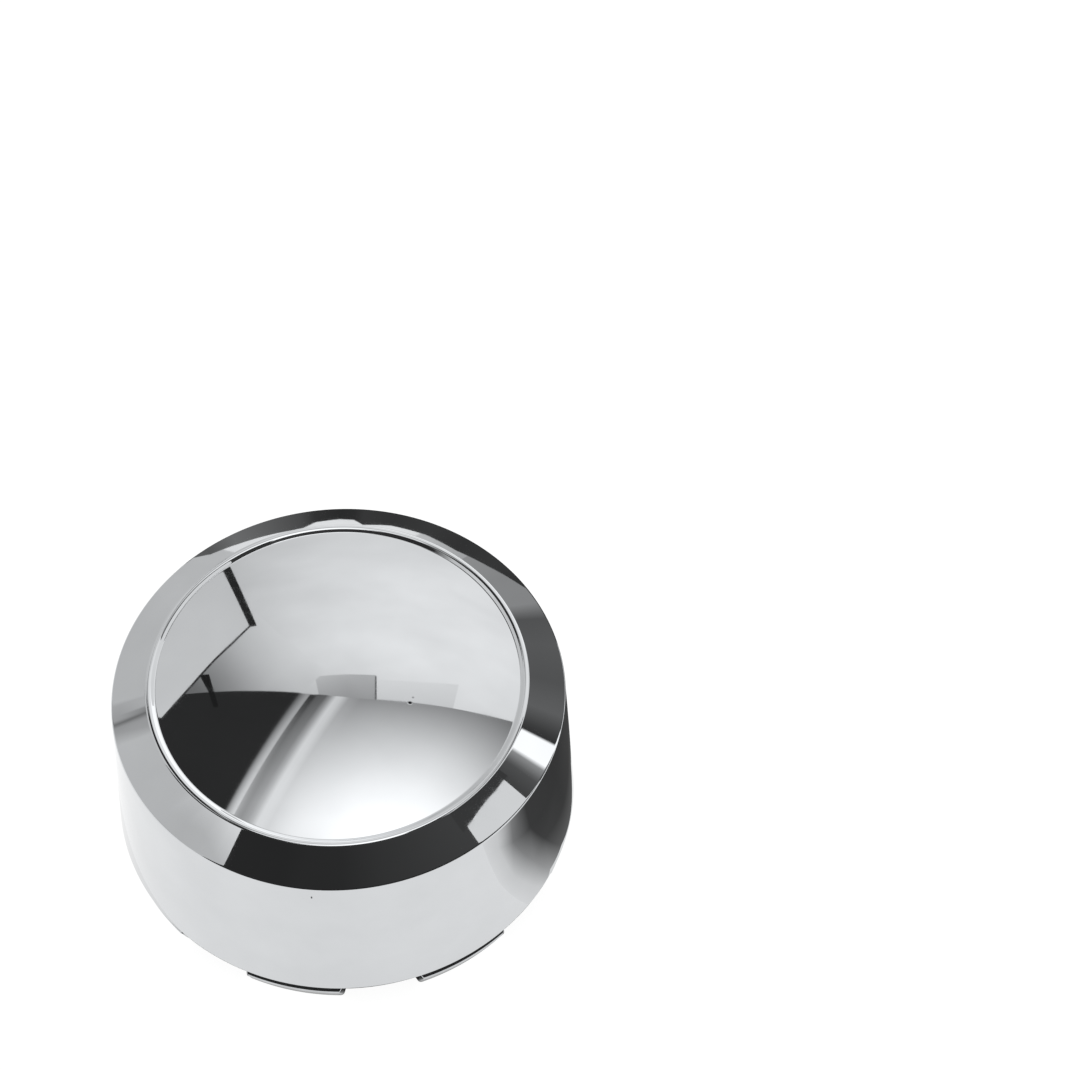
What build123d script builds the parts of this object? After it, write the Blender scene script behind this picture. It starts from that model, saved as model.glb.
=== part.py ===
# A pop-in wheel centre cap: a chromed, moulded cup with a bevelled, gently domed face,
# eight hook tabs round its open end, and a split wire ring that springs the tabs outwards.
# Millimetres, +Z up. The cap stands on its tab tips, face up, with its axis on Z and the tips at Z = 0.
import os
from math import atan, cos, degrees, sqrt

from build123d import *

# Cup, from the open end up to the face
rim_radius = 43.3         # outside of the wall at the flat rim, where the cup is widest
wall_height = 33.4        # from the rim up to the outer edge of the bevel
wall_taper = 1.8          # by which the outside narrows from the rim to the bevel
wall = 3.2                # thickness of wall, bevel and face alike
bevel_width = 6.3         # measured square to the axis
bevel_rise = 3.7          # height that the bevel climbs
dome_rise = 3.35          # height that the face disc climbs to its middle
bevel_edge_round = 0.6    # outer edge between wall and bevel
inner_corner_round = 0.9  # inside corner between wall and bevel
rim_edge_round = 0.4      # outer edge of the flat rim

# Bead between the bevel and the face disc: the bevel runs on into it, and it falls away to the disc
bead_width = 1.95
bead_ridge = 0.8          # how far the bevel's slope runs on before it turns down
bead_round = 1.1          # rounding of the ridge
bead_foot_round = 0.6     # rounding where the bead meets the disc
disc_drop = 0.15          # edge of the disc, below the top of the bevel

# Hook tabs on the rim
tab_count = 8
tab_angle = 25.0          # degrees that one tab spans
tab_height = 6.3          # rim to tip
tip_width = 0.9           # flat end of a tab, across the wall
tip_setback = 0.25        # lip over the wire, outside the line of the inner wall
hook_inset = 0.65         # hook's ridge, inside the outer edge of the rim
hook_height = 2.3         # rim to the underside of the ridge
hook_land = 0.5           # height of the ridge itself
neck_inset = 1.65         # neck under the hook, inside the outer edge of the rim
neck_height = 1.3         # straight part of the neck
foot_rise = 0.2           # pad that the tab's mould insert leaves on the rim
tab_edge_round = 0.2      # edges along the hook and the tip
tab_end_round = 0.7       # corners where a tab's ends meet its tip

# Split wire ring in a channel behind the tips
wire_diameter = 1.6
wire_height = 4.3         # rim to the middle of the wire
channel_depth = 0.75      # channel, from the inner face of a tab
wire_clearance = 0.05     # between the wire and its channel
split_tab = 2             # the split follows this tab, counted round from the one on +X
wire_end_stub = 5.0       # length by which one end stands past that tab
wire_far_stub = 0.8       # the same for the other end, past the next tab

# Round pads that ejector pins leave inside the face, one in line with each tab
pad_diameter = 4.6
pad_inset = 4.75          # middle of a pad, inside the edge of the face disc
pad_stand = 0.1           # least height of a pad above the face behind it

# Heights, slopes and places that follow from these
rim_z = tab_height
edge_z = rim_z + wall_height
bead_z = edge_z + bevel_rise
disc_z = bead_z - disc_drop
bevel_radius = rim_radius - wall_taper
bead_radius = bevel_radius - bevel_width
disc_radius = bead_radius - bead_width
dome_radius = (disc_radius**2 + dome_rise**2) / (2 * dome_rise)
dome_centre_z = disc_z + dome_rise - dome_radius
inner_rim_radius = rim_radius - wall / cos(atan(wall_taper / wall_height))
channel_radius = wire_diameter / 2 + wire_clearance
ring_radius = inner_rim_radius + channel_depth - channel_radius
wire_z = rim_z - wire_height
tab_pitch = 360 / tab_count
root = wall / 4           # depth by which bead, tabs and pads run into the cup


def turned(outline, angle=360.0):
    """Solid from an outline drawn in the XZ plane, turned about Z and centred on +X."""
    return Rot(Z=-angle / 2) * revolve(Plane.XZ * outline, Axis.Z, angle)


def ball_height(radius, r):
    """Height, at distance r from the axis, of a ball that shares the face's centre."""
    return dome_centre_z + sqrt(radius**2 - r**2)


def full_cup():
    """The cup's outer form, filled: drafted wall, bevel, the bead's seat and domed face."""
    apex = (0, disc_z + dome_rise)
    halfway = (disc_radius / 2, ball_height(dome_radius, disc_radius / 2))
    side = Polyline(
        (0, rim_z),
        (rim_radius, rim_z),
        (bevel_radius, edge_z),
        (bead_radius, bead_z),
        (disc_radius, disc_z),
    )
    dome = ThreePointArc((disc_radius, disc_z), halfway, apex)
    return turned(make_face(side + dome + Line(apex, (0, rim_z))))


def ring_edge(solid, radius, z):
    """The round edge of a turned solid that lies nearest to a radius and a height."""
    circles = solid.edges().filter_by(GeomType.CIRCLE)
    return circles.sort_by(lambda e: abs(e.radius - radius) + abs(e.center().Z - z))[0]


def inner_line(start, end):
    """A line of the section moved in by the wall's thickness: a point on it and its direction."""
    along = (Vector(end) - Vector(start)).normalized()
    square = Vector(-along.Y, along.X)
    return Vector(start) + square * wall, along


def crossing(first, second):
    """Where two lines of the section meet."""
    here, along = first
    there, across = second
    share = (there - here).cross(across).Z / along.cross(across).Z
    return here + along * share


def cavity():
    """Inside of the cup: wall and bevel moved in by the wall's thickness, under a ball inside the face's."""
    inner_wall = inner_line((rim_radius, rim_z), (bevel_radius, edge_z))
    inner_bevel = inner_line((bevel_radius, edge_z), (bead_radius, bead_z))
    axis = (Vector(0, rim_z), Vector(0, 1))
    corner = crossing(inner_wall, inner_bevel)
    peak = crossing(inner_bevel, axis)
    outline = Polyline((0, rim_z), (inner_rim_radius, rim_z), corner, peak, close=True)
    core = turned(make_face(outline))
    core = fillet(ring_edge(core, corner.X, corner.Y), inner_corner_round)
    return core & Pos(0, 0, dome_centre_z) * Sphere(dome_radius - wall)


def cup():
    """The cup hollowed to an even wall, open at the rim, with its outer edges rounded."""
    shell = full_cup() - cavity()
    shell = fillet(ring_edge(shell, bevel_radius, edge_z), bevel_edge_round)
    return fillet(ring_edge(shell, rim_radius, rim_z), rim_edge_round)


def bead():
    """Rounded bead on its seat between bevel and disc, rooted in the face."""
    ridge = (bead_radius - bead_ridge, bead_z + bead_ridge * bevel_rise / bevel_width)
    outline = Polyline(
        (bead_radius, bead_z),
        ridge,
        (disc_radius, disc_z),
        (disc_radius, disc_z - root),
        (bead_radius, disc_z - root),
        close=True,
    )
    section = make_face(outline)
    return turned(fillet(section.vertices().sort_by_distance(ridge)[0], bead_round))


def beaded_cup():
    """The cup with its bead, rounded off into the disc."""
    body = cup() + bead()
    return fillet(ring_edge(body, disc_radius, disc_z), bead_foot_round)


def tab_section():
    """Section of a tab: foot pad, neck, hook with its lead-in, tip, and the wire's channel."""
    lip_radius = inner_rim_radius + tip_setback
    hook_radius = rim_radius - hook_inset
    neck_radius = rim_radius - neck_inset
    foot_radius = rim_radius - rim_edge_round
    foot_z = rim_z - foot_rise
    hook_top = (hook_radius, rim_z - hook_height)
    hook_base = (hook_radius, rim_z - hook_height - hook_land)
    tip_inside = (lip_radius, 0)
    tip_outside = (lip_radius + tip_width, 0)
    outline = Polyline(
        (inner_rim_radius, rim_z + root),
        (inner_rim_radius, wire_z),
        (lip_radius, wire_z),
        tip_inside,
        tip_outside,
        hook_base,
        hook_top,
        (neck_radius, rim_z - neck_height),
        (neck_radius, foot_z),
        (foot_radius, foot_z),
        (foot_radius, rim_z + root),
        close=True,
    )
    section = make_face(outline)
    crests = (tip_inside, tip_outside, hook_base, hook_top)
    section = fillet([section.vertices().sort_by_distance(p)[0] for p in crests], tab_edge_round)
    return section - Pos(ring_radius, wire_z) * Circle(channel_radius)


def tab():
    """One hook tab on +X: the section kept inside a sector with rounded corners at the tip."""
    corner = (Align.MIN, Align.MIN)
    side = Pos(inner_rim_radius / 2, 0) * Rectangle(rim_radius, rim_z + root, align=corner)
    sector = turned(side, tab_angle)
    tip = sector.faces().sort_by(Axis.Z)[0]
    sector = fillet(tip.edges().filter_by(GeomType.LINE), tab_end_round)
    return turned(tab_section()) & sector


def pad():
    """One ejector-pin pad on +X: its flat end stands just proud of the domed face."""
    inner_ball = dome_radius - wall
    middle = disc_radius - pad_inset
    flat_z = ball_height(inner_ball, middle + pad_diameter / 2) - pad_stand
    top_z = ball_height(inner_ball, middle - pad_diameter / 2) + root
    up = (Align.CENTER, Align.CENTER, Align.MIN)
    return Pos(middle, 0, flat_z) * Cylinder(pad_diameter / 2, top_z - flat_z, align=up)


def around(solid):
    """Copies of a solid at every tab's place."""
    return [Rot(Z=i * tab_pitch) * solid for i in range(tab_count)]


def cap_shell():
    """The moulding: cup, bead, hook tabs and pads in one piece."""
    return beaded_cup() + around(tab()) + around(pad())


def retaining_ring():
    """Split ring of round spring wire, its ends in the gap after the split tab."""
    gap = tab_pitch - tab_angle
    split = gap - degrees((wire_end_stub + wire_far_stub) / ring_radius)
    start = split_tab * tab_pitch + tab_angle / 2 + degrees(wire_end_stub / ring_radius)
    ring = turned(Pos(ring_radius, wire_z) * Circle(wire_diameter / 2), 360 - split)
    return Rot(Z=start + split / 2 + 180) * ring


os.makedirs("parts", exist_ok=True)
export_step(cap_shell(), "parts/cap_shell.step")
export_step(retaining_ring(), "parts/retaining_ring.step")
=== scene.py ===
from math import acos, ceil, cos, pi, radians, sin, sqrt, tan

import bpy
from mathutils import Matrix, Vector


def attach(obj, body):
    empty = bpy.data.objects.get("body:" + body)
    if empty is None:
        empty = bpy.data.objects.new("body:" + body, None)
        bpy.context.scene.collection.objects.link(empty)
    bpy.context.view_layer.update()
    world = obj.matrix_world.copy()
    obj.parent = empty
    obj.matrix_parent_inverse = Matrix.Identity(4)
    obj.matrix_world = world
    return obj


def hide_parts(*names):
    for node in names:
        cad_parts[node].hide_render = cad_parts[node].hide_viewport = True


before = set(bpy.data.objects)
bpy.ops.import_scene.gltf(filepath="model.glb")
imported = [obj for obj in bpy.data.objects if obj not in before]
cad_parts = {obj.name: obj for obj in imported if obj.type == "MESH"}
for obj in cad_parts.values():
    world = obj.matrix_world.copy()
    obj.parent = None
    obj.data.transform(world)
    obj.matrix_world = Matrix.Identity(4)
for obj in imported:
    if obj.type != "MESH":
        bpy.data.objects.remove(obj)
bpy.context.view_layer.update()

MM = 0.001

# Cup, in millimetres
RIM_RADIUS = 43.3
WALL_HEIGHT = 33.4
WALL_TAPER = 1.8
WALL = 3.2
BEVEL_WIDTH = 6.3
BEVEL_RISE = 3.7
DOME_RISE = 3.35
BEVEL_EDGE_ROUND = 0.6
INNER_CORNER_ROUND = 0.9
RIM_EDGE_ROUND = 0.4
RIM_INNER_ROUND = 0.25    # plating softens the inner edges
INNER_FACE_ROUND = 0.6
BEAD_WIDTH = 1.95
BEAD_RIDGE = 0.8
BEAD_ROUND = 1.1
BEAD_FOOT_ROUND = 0.4
DISC_DROP = 0.15

# Hook tabs
TAB_COUNT = 8
TAB_ANGLE = radians(25.0)
TAB_HEIGHT = 6.3
TIP_WIDTH = 0.9
TIP_SETBACK = 0.25
HOOK_INSET = 0.65
HOOK_HEIGHT = 2.3
HOOK_LAND = 0.5
NECK_INSET = 1.65
NECK_HEIGHT = 1.3
FOOT_RISE = 0.2
TAB_EDGE_ROUND = 0.2
TAB_END_ROUND = 1.4
TAB_END_FLARE = 1.25           # by which a tab's inner corners stand past the ends of its ridge
TAB_FLARE_MIDDLE = 0.47        # share of that flare at which the tab has its own angle
TAB_SIDE_ROUND = 0.14          # plating softens the edges round a tab's two ends
NECK_ROUND = 0.25
FOOT_ROUND = 0.1
WIRE_DIAMETER = 1.6
WIRE_HEIGHT = 4.3
CHANNEL_DEPTH = 0.75
WIRE_CLEARANCE = 0.05

# Ejector-pin pads
PAD_DIAMETER = 4.6
PAD_INSET = 4.75
PAD_STAND = 0.1
PAD_EDGE_ROUND = 0.08

# How finely the surfaces are drawn
CUP_SEGMENTS = 288
PAD_SEGMENTS = 40
DOME_POINTS = 44
CHANNEL_POINTS = 18
TAB_SIDE_STEPS = 4
TAB_END_STEPS = 10
TAB_FLAT_STEPS = 12            # from a rounded corner to the tab's middle
CUP_ARC_STEP = radians(7.5)
TAB_ARC_STEP = radians(11.25)
CRISP_ANGLE = radians(32)      # edges that bend more than this stay sharp
WELD = 0.001                   # points nearer than this are one
HOLD = 0.1                     # a point this far from an arc keeps its shading off the flat

# Heights and places that follow from these
RIM_Z = TAB_HEIGHT
EDGE_Z = RIM_Z + WALL_HEIGHT
BEAD_Z = EDGE_Z + BEVEL_RISE
DISC_Z = BEAD_Z - DISC_DROP
BEVEL_RADIUS = RIM_RADIUS - WALL_TAPER
BEAD_RADIUS = BEVEL_RADIUS - BEVEL_WIDTH
DISC_RADIUS = BEAD_RADIUS - BEAD_WIDTH
DOME_RADIUS = (DISC_RADIUS**2 + DOME_RISE**2) / (2 * DOME_RISE)
DOME_CENTRE_Z = DISC_Z + DOME_RISE - DOME_RADIUS
INNER_RIM_RADIUS = RIM_RADIUS - WALL * sqrt(1 + (WALL_TAPER / WALL_HEIGHT)**2)
CHANNEL_RADIUS = WIRE_DIAMETER / 2 + WIRE_CLEARANCE
RING_RADIUS = INNER_RIM_RADIUS + CHANNEL_DEPTH - CHANNEL_RADIUS
WIRE_Z = RIM_Z - WIRE_HEIGHT
HOOK_RADIUS = RIM_RADIUS - HOOK_INSET
TAB_DEPTH = HOOK_RADIUS - INNER_RIM_RADIUS
TAB_HALF_SPAN = HOOK_RADIUS * TAB_ANGLE / 2
PAD_RADIUS = DISC_RADIUS - PAD_INSET
ROOT = WALL / 4

# Sizes that a tab's tree takes in
TAB_SIZES = ("Tab span", "Tab ridge radius", "Tab depth", "Tab flare", "Tab side round", "Tab end round")

# Where the photograph was taken from
VIEW_TURN = radians(12.0)      # the camera stands this far round from -Y, to see the tabs where they are
VIEW_DROP = radians(54.35)     # the line of sight falls this steeply
FOCAL_PX = 3214.0              # focal length in pixels of the 1070 frame
FRAME_PX = 1070.0
EYE = Vector((35.88, -319.08, 533.75)) * MM   # camera over the cap's base, before the turn
CARD_CENTRE_Z = 42.0           # cards stand on balls about this height on the axis


def linear(hex_colour):
    """Linear RGBA of an sRGB hex colour."""
    parts = [int(hex_colour[i:i + 2], 16) / 255 for i in (1, 3, 5)]
    return [c / 12.92 if c <= 0.04045 else ((c + 0.055) / 1.055) ** 2.4 for c in parts] + [1.0]


def node(tree, kind, links=(), **settings):
    """Adds a node, sets its properties and sockets, and links outputs to its inputs."""
    made = tree.nodes.new(kind)
    for name, value in settings.items():
        setattr(made, name, value)
    for socket, value in links:
        if isinstance(value, bpy.types.NodeSocket):
            tree.links.new(value, made.inputs[socket])
        else:
            made.inputs[socket].default_value = value
    return made


def new_material(name):
    """An empty node material, its tree and its Object coordinates."""
    material = bpy.data.materials.new(name)
    material.use_nodes = True
    tree = material.node_tree
    tree.nodes.clear()
    return material, tree, node(tree, "ShaderNodeTexCoord").outputs["Object"]


def patches(tree, place, size, detail=2.0, stretch=(1.0, 1.0, 1.0)):
    """Uneven patches about this many millimetres across, drawn out along the axes by a stretch."""
    scale = [1 / (size * MM * s) for s in stretch]
    sized = node(tree, "ShaderNodeMapping", [("Vector", place), ("Scale", scale)])
    return node(tree, "ShaderNodeTexNoise", [
        ("Vector", sized.outputs[0]),
        ("Scale", 1.0),
        ("Detail", detail),
    ]).outputs["Fac"]


def finish_metal(tree, colour, roughness, skin):
    """Ends the tree of a metal surface with its shader and output."""
    shader = node(tree, "ShaderNodeBsdfPrincipled", [
        ("Base Color", colour),
        ("Metallic", 1.0),
        ("Roughness", roughness),
        ("Normal", skin),
    ])
    node(tree, "ShaderNodeOutputMaterial", [("Surface", shader.outputs["BSDF"])])


def chrome_outside():
    """Bright chrome on polished ABS: mirror-sharp, faintly wavy where it sank, with three small marks."""
    material, tree, place = new_material("chrome_plated_abs_polished")
    film = patches(tree, place, 14.0, 3.0)                     # handling film, patches of 14 mm
    wipe = patches(tree, place, 1.2, 2.0, (9.0, 1.0, 1.0))     # wiping streaks 1 mm wide, some 11 mm long
    sink = patches(tree, place, 16.0, 0.0)                     # sink waves 16 mm apart, a micrometre deep
    clean = node(tree, "ShaderNodeMix", [
        ("Factor", film),
        (6, linear("#D4D6D8")),
        (7, linear("#C6C8CA")),
    ], data_type="RGBA")
    gloss = node(tree, "ShaderNodeMix", [("Factor", wipe), ("A", 0.002), ("B", 0.044)])
    # Marks in the plating: middle in mm, breadth along each axis in mm, and how dark they are
    marks = (
        ((14.41, -3.45, 45.94), (0.46, 0.36, 0.6), 1.0),    # pit in the disc
        ((14.69, -2.29, 45.94), (0.24, 0.24, 0.6), 0.35),   # faint pit beside it
        ((5.29, -41.29, 37.35), (0.17, 0.4, 0.42), 0.9),    # nick high on the wall
    )
    dull = 0.0
    for middle, breadth, dark in marks:
        apart = node(tree, "ShaderNodeVectorMath", [
            (0, place),
            (1, Vector(middle) * MM),
        ], operation="SUBTRACT")
        sized = node(tree, "ShaderNodeVectorMath", [
            (0, apart.outputs[0]),
            (1, Vector(breadth) * MM),
        ], operation="DIVIDE")
        away = node(tree, "ShaderNodeVectorMath", [(0, sized.outputs[0])], operation="LENGTH")
        spot = node(tree, "ShaderNodeMapRange", [
            ("Value", away.outputs["Value"]),
            ("From Min", 0.55),
            ("From Max", 1.1),
            ("To Min", dark),
            ("To Max", 0.0),
        ])
        worst = node(tree, "ShaderNodeMath", [(0, dull), (1, spot.outputs[0])], operation="MAXIMUM")
        dull = worst.outputs[0]
    marked = node(tree, "ShaderNodeMix", [
        ("Factor", dull),
        (6, clean.outputs[2]),
        (7, linear("#1B1C1D")),
    ], data_type="RGBA")
    rough = node(tree, "ShaderNodeMath", [
        (0, dull),
        (1, 0.5),
        (2, gloss.outputs[0]),
    ], operation="MULTIPLY_ADD")
    wave = node(tree, "ShaderNodeBump", [("Distance", 0.001 * MM), ("Height", sink)])
    hole = node(tree, "ShaderNodeBump", [
        ("Distance", 0.015 * MM),
        ("Height", dull),
        ("Normal", wave.outputs[0]),
    ], invert=True)
    finish_metal(tree, marked.outputs[2], rough.outputs[0], hole.outputs[0])
    return material


def chrome_inside():
    """Chrome over unpolished ABS inside the cup: a hazy mirror with scuffs up the wall and small pimples."""
    material, tree, place = new_material("chrome_plated_abs_unpolished")
    thin = patches(tree, place, 16.0, 2.0)                     # uneven plating, patches of 16 mm
    haze = patches(tree, place, 6.0, 2.0, (1.0, 1.0, 3.0))     # hazy spots 6 mm wide and 18 mm high
    scuff = patches(tree, place, 0.4, 1.0, (1.0, 1.0, 20.0))   # scuffs 0.4 mm wide and 8 mm high
    grain = patches(tree, place, 0.5, 2.0)                     # grain of the mould's steel, 0.5 mm
    colour = node(tree, "ShaderNodeMix", [
        ("Factor", thin),
        (6, linear("#CDCFD1")),
        (7, linear("#B2B4B6")),
    ], data_type="RGBA")
    hazy = node(tree, "ShaderNodeMix", [("Factor", haze), ("A", 0.06), ("B", 0.26)])
    scuffed = node(tree, "ShaderNodeMapRange", [
        ("Value", scuff),
        ("From Min", 0.66),
        ("From Max", 0.76),
        ("To Min", 0.0),
        ("To Max", 0.2),
    ])
    rough = node(tree, "ShaderNodeMath", [(0, hazy.outputs[0]), (1, scuffed.outputs[0])], operation="ADD")
    # Pimples 0.9 mm apart
    pimples = node(tree, "ShaderNodeTexVoronoi", [("Vector", place), ("Scale", 1 / (0.9 * MM))])
    raised = node(tree, "ShaderNodeMapRange", [
        ("Value", pimples.outputs["Distance"]),
        ("From Min", 0.05),
        ("From Max", 0.28),
        ("To Min", 1.0),
        ("To Max", 0.0),
    ])
    height = node(tree, "ShaderNodeMath", [
        (0, raised.outputs[0]),
        (1, 0.5),
        (2, grain),
    ], operation="MULTIPLY_ADD")
    skin = node(tree, "ShaderNodeBump", [("Distance", 0.004 * MM), ("Height", height.outputs[0])])
    finish_metal(tree, colour.outputs[2], rough.outputs[0], skin.outputs[0])
    return material


def chrome_tabs():
    """Chrome over the spark-eroded grain of the tabs' mould inserts: bright, but finely broken up."""
    material, tree, place = new_material("chrome_plated_abs_spark_eroded")
    craters = patches(tree, place, 0.25, 3.0)   # craters of 0.1 mm, drawn at 0.25 mm to show
    rubbed = patches(tree, place, 3.0, 2.0)     # brighter where the wheel rubs, 3 mm across
    colour = node(tree, "ShaderNodeMix", [
        ("Factor", rubbed),
        (6, linear("#D8DADC")),
        (7, linear("#B3B5B7")),
    ], data_type="RGBA")
    rough = node(tree, "ShaderNodeMix", [("Factor", rubbed), ("A", 0.01), ("B", 0.18)])
    skin = node(tree, "ShaderNodeBump", [("Distance", 0.004 * MM), ("Height", craters)])
    finish_metal(tree, colour.outputs[2], rough.outputs[0], skin.outputs[0])
    return material


def spring_wire():
    """Drawn spring-steel wire: fine lines run along it from the die, with a thin grey oxide in patches."""
    material, tree, place = new_material("spring_steel_wire_drawn")
    parts = node(tree, "ShaderNodeSeparateXYZ", [(0, place)])
    flat = node(tree, "ShaderNodeCombineXYZ", [("X", parts.outputs["X"]), ("Y", parts.outputs["Y"])])
    reach = node(tree, "ShaderNodeVectorMath", [(0, flat.outputs[0])], operation="LENGTH")
    turn = node(tree, "ShaderNodeMath", [
        (0, parts.outputs["Y"]),
        (1, parts.outputs["X"]),
    ], operation="ARCTAN2")
    along = node(tree, "ShaderNodeMath", [(0, turn.outputs[0]), (1, RING_RADIUS * MM)], operation="MULTIPLY")
    run = node(tree, "ShaderNodeCombineXYZ", [
        ("X", reach.outputs["Value"]),
        ("Y", along.outputs[0]),
        ("Z", parts.outputs["Z"]),
    ])
    # Die lines some 8 mm long and 0.02 mm apart, drawn at 0.07 mm to show
    lines = patches(tree, run.outputs[0], 0.07, 2.0, (1.0, 120.0, 1.0))
    oxide = patches(tree, place, 4.0, 3.0)      # oxide in patches of 4 mm
    colour = node(tree, "ShaderNodeMix", [
        ("Factor", oxide),
        (6, linear("#CAC9C6")),
        (7, linear("#807E79")),
    ], data_type="RGBA")
    rough = node(tree, "ShaderNodeMix", [("Factor", lines), ("A", 0.1), ("B", 0.5)])
    skin = node(tree, "ShaderNodeBump", [("Distance", 0.004 * MM), ("Height", lines)])
    finish_metal(tree, colour.outputs[2], rough.outputs[0], skin.outputs[0])
    return material


def rounded(corners, step, closed=False):
    """Points of an outline of corners (r, z, rounding), with an arc at each rounded one."""
    count = len(corners)
    spots = [Vector(c[:2]) for c in corners]
    reach = []
    for i, (r, z, rounding) in enumerate(corners):
        to_last = (spots[i - 1] - spots[i]).normalized()
        to_next = (spots[(i + 1) % count] - spots[i]).normalized()
        turn = pi - acos(max(-1.0, min(1.0, to_last.dot(to_next))))
        ends = not closed and i in (0, count - 1)
        reach.append((0.0, 0.0) if ends or rounding == 0 else (rounding * tan(turn / 2), turn))
    points = []
    for i, (r, z, rounding) in enumerate(corners):
        tangent, turn = reach[i]
        if tangent == 0:
            points.append((r, z))
            continue
        here = spots[i]
        sides = []
        for j in (i - 1, (i + 1) % count):
            run = spots[j] - here
            left = run.length - tangent - reach[j][0]
            sides.append((run.normalized(), min(HOLD, 0.3 * left)))
        (to_last, hold_last), (to_next, hold_next) = sides
        centre = here + (to_last + to_next).normalized() * rounding / cos(turn / 2)
        start = here + to_last * tangent - centre
        hand = 1 if to_last.cross(to_next) < 0 else -1
        parts = ceil(turn / step)
        points.append(tuple(here + to_last * (tangent + hold_last)))
        for k in range(parts + 1):
            points.append(tuple(centre + Matrix.Rotation(hand * turn * k / parts, 2) @ start))
        points.append(tuple(here + to_next * (tangent + hold_next)))
    return points


def ball_height(radius, r):
    """Height, at distance r from the axis, of a ball that shares the face's centre."""
    return DOME_CENTRE_Z + sqrt(radius**2 - r**2)


def dome(radius, edge):
    """Points of the face's arc from the axis out to an edge."""
    spots = [edge * i / DOME_POINTS for i in range(DOME_POINTS + 1)]
    return [(r, ball_height(radius, r)) for r in spots]


def inner_line(start, end):
    """A line of the section moved in by the wall's thickness: a point on it and its direction."""
    along = (Vector(end) - Vector(start)).normalized()
    return Vector(start) + Vector((-along.y, along.x)) * WALL, along


def cup_outline():
    """Section of the cup from the middle of its face out, down the wall and back up inside."""
    at_wall, up_wall = inner_line((RIM_RADIUS, RIM_Z), (BEVEL_RADIUS, EDGE_Z))
    at_bevel, up_bevel = inner_line((BEVEL_RADIUS, EDGE_Z), (BEAD_RADIUS, BEAD_Z))
    share = (at_bevel - at_wall).cross(up_bevel) / up_wall.cross(up_bevel)
    inner_corner = at_wall + up_wall * share
    ball = DOME_RADIUS - WALL
    from_centre = at_bevel - Vector((0, DOME_CENTRE_Z))
    nearest = -from_centre.dot(up_bevel)
    inner_edge = at_bevel + up_bevel * (nearest + sqrt(nearest**2 - from_centre.length_squared + ball**2))
    ridge = (BEAD_RADIUS - BEAD_RIDGE, BEAD_Z + BEAD_RIDGE * BEVEL_RISE / BEVEL_WIDTH)
    corners = [(r, z, 0) for r, z in dome(DOME_RADIUS, DISC_RADIUS)[:-1]]
    corners += [
        (DISC_RADIUS, DISC_Z, BEAD_FOOT_ROUND),
        (*ridge, BEAD_ROUND),
        (BEVEL_RADIUS, EDGE_Z, BEVEL_EDGE_ROUND),
        (RIM_RADIUS, RIM_Z, RIM_EDGE_ROUND),
        (INNER_RIM_RADIUS, RIM_Z, RIM_INNER_ROUND),
        (*inner_corner, INNER_CORNER_ROUND),
        (*inner_edge, INNER_FACE_ROUND),
    ]
    corners += [(r, z, 0) for r, z in reversed(dome(ball, inner_edge.x)[:-1])]
    return rounded(corners, CUP_ARC_STEP)


def tab_outline():
    """Section of a tab: foot pad, neck, hook with its lead-in, tip, and the wire's channel."""
    lip_radius = INNER_RIM_RADIUS + TIP_SETBACK
    neck_radius = RIM_RADIUS - NECK_INSET
    foot_radius = RIM_RADIUS - RIM_EDGE_ROUND
    channel_top = acos((INNER_RIM_RADIUS - RING_RADIUS) / CHANNEL_RADIUS)
    channel_end = -acos((lip_radius - RING_RADIUS) / CHANNEL_RADIUS)
    corners = [(INNER_RIM_RADIUS, RIM_Z + ROOT, 0)]
    for i in range(CHANNEL_POINTS + 1):
        turn = channel_top + (channel_end - channel_top) * i / CHANNEL_POINTS
        corners.append((RING_RADIUS + CHANNEL_RADIUS * cos(turn), WIRE_Z + CHANNEL_RADIUS * sin(turn), 0))
    corners += [
        (lip_radius, 0, TAB_EDGE_ROUND),
        (lip_radius + TIP_WIDTH, 0, TAB_EDGE_ROUND),
        (HOOK_RADIUS, RIM_Z - HOOK_HEIGHT - HOOK_LAND, TAB_EDGE_ROUND),
        (HOOK_RADIUS, RIM_Z - HOOK_HEIGHT, TAB_EDGE_ROUND),
        (neck_radius, RIM_Z - NECK_HEIGHT, NECK_ROUND),
        (neck_radius, RIM_Z - FOOT_RISE, NECK_ROUND),
        (foot_radius, RIM_Z - FOOT_RISE, FOOT_ROUND),
        (foot_radius, RIM_Z + ROOT, 0),
    ]
    return rounded(corners, TAB_ARC_STEP, closed=True)


def tab_rows():
    """Rows across a tab (turn, inset, lift): its edges draw in at both ends and its tip's corners lift."""
    half = TAB_HALF_SPAN
    flat_from = TAB_END_ROUND + HOLD
    spots = {TAB_SIDE_ROUND * (1 - cos(k * pi / (2 * TAB_SIDE_STEPS))) for k in range(TAB_SIDE_STEPS + 1)}
    spots |= {TAB_END_ROUND * (1 - cos(k * pi / (2 * TAB_END_STEPS))) for k in range(1, TAB_END_STEPS + 1)}
    spots |= {flat_from + (half - flat_from) * k / TAB_FLAT_STEPS for k in range(TAB_FLAT_STEPS + 1)}
    rows = []
    for s in sorted(spots):
        draw_in = max(TAB_SIDE_ROUND - s, 0)
        raise_by = max(TAB_END_ROUND - s, 0)
        inset = TAB_SIDE_ROUND - sqrt(TAB_SIDE_ROUND**2 - draw_in**2)
        lift = TAB_END_ROUND - sqrt(TAB_END_ROUND**2 - raise_by**2)
        rows.append(((s - half) / HOOK_RADIUS, inset, lift))
    return rows + [(-turn, inset, lift) for turn, inset, lift in reversed(rows[:-1])]


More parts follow.
